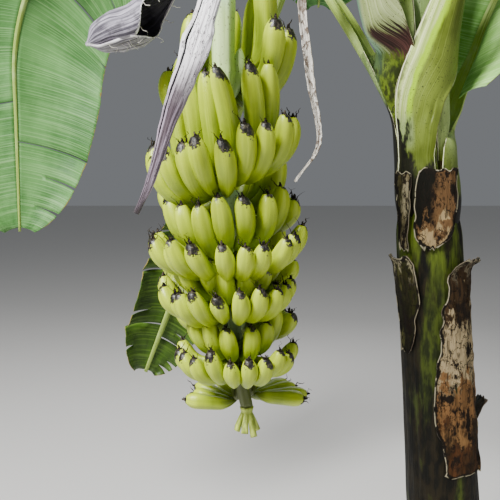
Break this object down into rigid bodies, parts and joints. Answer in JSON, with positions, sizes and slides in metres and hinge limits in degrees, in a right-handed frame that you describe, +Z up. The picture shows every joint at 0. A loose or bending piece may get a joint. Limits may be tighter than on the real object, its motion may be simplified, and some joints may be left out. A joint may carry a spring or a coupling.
{
  "type": "banana plant",
  "caption": "Dwarf banana plant in fruit: leaning pseudostem with dry sheaths, arching torn leaves and a hanging green bunch on a curved stalk.",
  "frame": {"origin": "middle of the flat cut under the stem, where it meets the ground", "axes": "+Z up along the plant, -Y towards the side on which the bunch hangs in front of the stem, +X to the right from there"},
  "size_m": [2.6208, 2.5832, 3.157],
  "materials": {
    "stem": "satin, green mottled with black",
    "petiole": "waxy satin",
    "blade": "satin leaf",
    "stalk": "satin",
    "fruit": "satin peel",
    "dry": "dry and papery"
  },
  "bodies": {
    "root": {"pseudostem": "stem", "leaf_right_back_petiole": "petiole", "leaf_right_back_blade_inner": "blade", "leaf_right_back_blade_outer": "blade", "leaf_front_right_petiole": "petiole", "leaf_front_right_blade_inner": "blade", "leaf_front_right_blade_outer": "blade", "leaf_back_left_petiole": "petiole", "leaf_back_left_blade_inner": "blade", "leaf_back_left_blade_outer": "blade", "leaf_back_petiole": "petiole", "leaf_back_blade_inner": "blade", "leaf_back_blade_outer": "blade", "leaf_right_petiole": "petiole", "leaf_right_blade_inner": "blade", "leaf_right_blade_outer": "blade", "leaf_top_petiole": "petiole", "leaf_top_blade_inner": "blade", "leaf_top_blade_outer": "blade", "leaf_back_right_petiole": "petiole", "leaf_back_right_blade_inner": "blade", "leaf_back_right_blade_outer": "blade", "leaf_back_high_petiole": "petiole", "leaf_back_high_blade_inner": "blade", "leaf_back_high_blade_outer": "blade", "leaf_flag_petiole": "petiole", "leaf_flag_blade_inner": "blade", "leaf_flag_blade_outer": "blade", "fruit_stalk_rise": "stalk", "fruit_stalk_fall": "stalk", "bunch_axis": "stalk", "hand_1": "fruit", "hand_2": "fruit", "hand_3": "fruit", "hand_4": "fruit", "hand_5": "fruit", "hand_6": "fruit", "hand_7": "fruit", "hand_8": "fruit", "hand_9": "fruit", "bunch_tail_stubs": "fruit", "dry_bract": "dry", "dry_strip": "dry", "curled_bract": "dry", "dry_sheath_upper": "dry", "dry_sheath_strips": "dry", "cut_sheath_hood": "dry", "dry_sheath_right": "dry", "dry_flake": "dry"}
  },
  "joints": []
}
